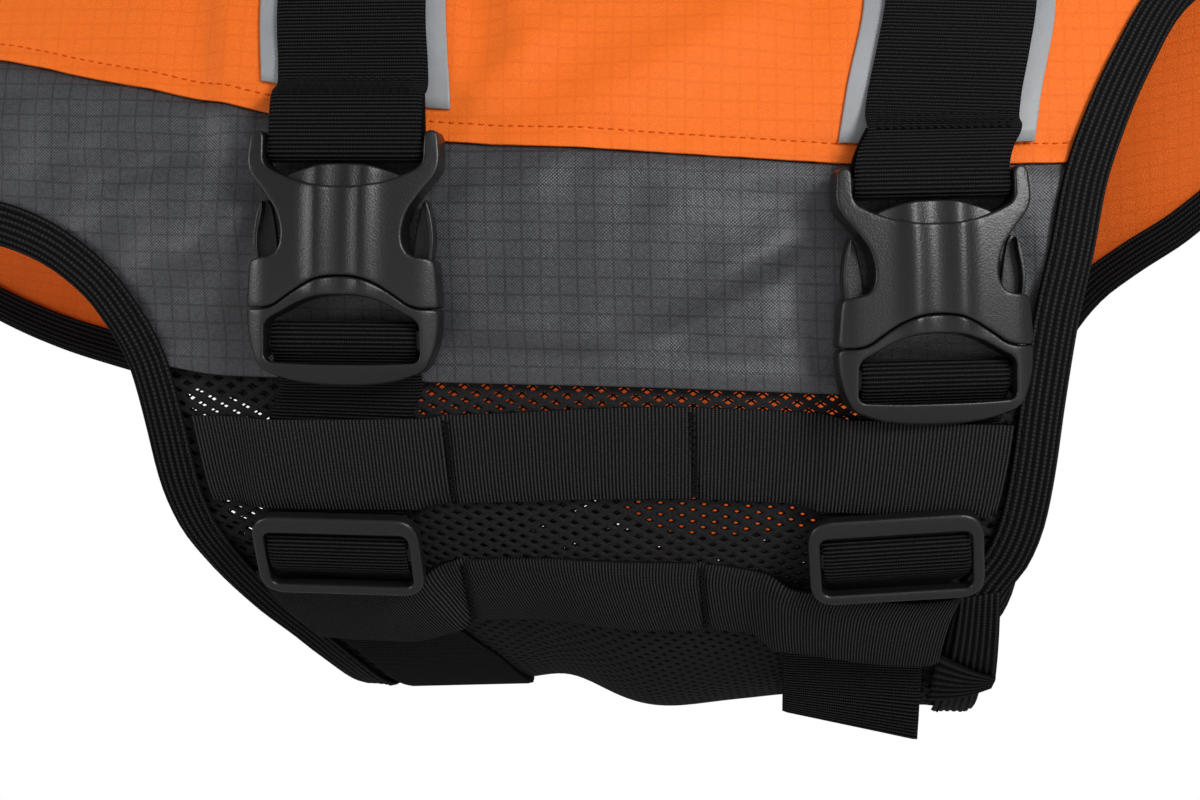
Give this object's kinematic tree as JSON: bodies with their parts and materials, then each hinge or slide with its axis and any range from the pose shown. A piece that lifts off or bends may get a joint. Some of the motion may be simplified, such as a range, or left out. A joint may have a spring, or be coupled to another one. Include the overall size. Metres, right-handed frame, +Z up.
{
  "type": "dog life jacket",
  "caption": "Padded dog life jacket: orange saddle panel with grey side bands, air-mesh belly panel, bound edges, girth straps with side-release buckles and sliders",
  "frame": {"origin": "underside of the lining on the spine, between the two girth straps, where the wearer's back carries the jacket", "axes": "+X points to the head, +Z is up, -Y is the wearer's right side with the buckles"},
  "size_m": [0.5606, 0.2512, 0.3008],
  "materials": {
    "orange_ripstop": "woven ripstop cloth with a fine grid, slight sheen",
    "grey_ripstop": "woven ripstop cloth with a fine grid, slight sheen",
    "orange_lining": "plain woven lining",
    "black_air_mesh": "open knitted spacer mesh",
    "black_elastic": "ribbed folded elastic",
    "reflective_tape": "grey glass-bead reflective tape",
    "black_webbing": "ribbed polyester webbing",
    "black_plastic": "finely grained moulded plastic with satin sheen"
  },
  "bodies": {
    "root": {"back_panel": "orange_ripstop", "side_band_near": "grey_ripstop", "side_band_far": "grey_ripstop", "lining": "orange_lining", "belly_mesh": "black_air_mesh", "binding_rear": "black_elastic", "binding_front": "black_elastic", "reflective_tape_rear": "reflective_tape", "reflective_tape_front": "reflective_tape", "upper_strap_rear": "black_webbing", "upper_strap_front": "black_webbing", "belly_strap_rear": "black_webbing", "belly_strap_front": "black_webbing", "strap_tail_front": "black_webbing", "cross_band_upper": "black_webbing", "cross_band_lower": "black_webbing", "neck_strap": "black_webbing", "buckle_socket_rear": "black_plastic", "buckle_socket_front": "black_plastic", "buckle_insert_rear": "black_plastic", "buckle_insert_front": "black_plastic", "slider_rear": "black_plastic", "slider_front": "black_plastic"}
  },
  "joints": []
}
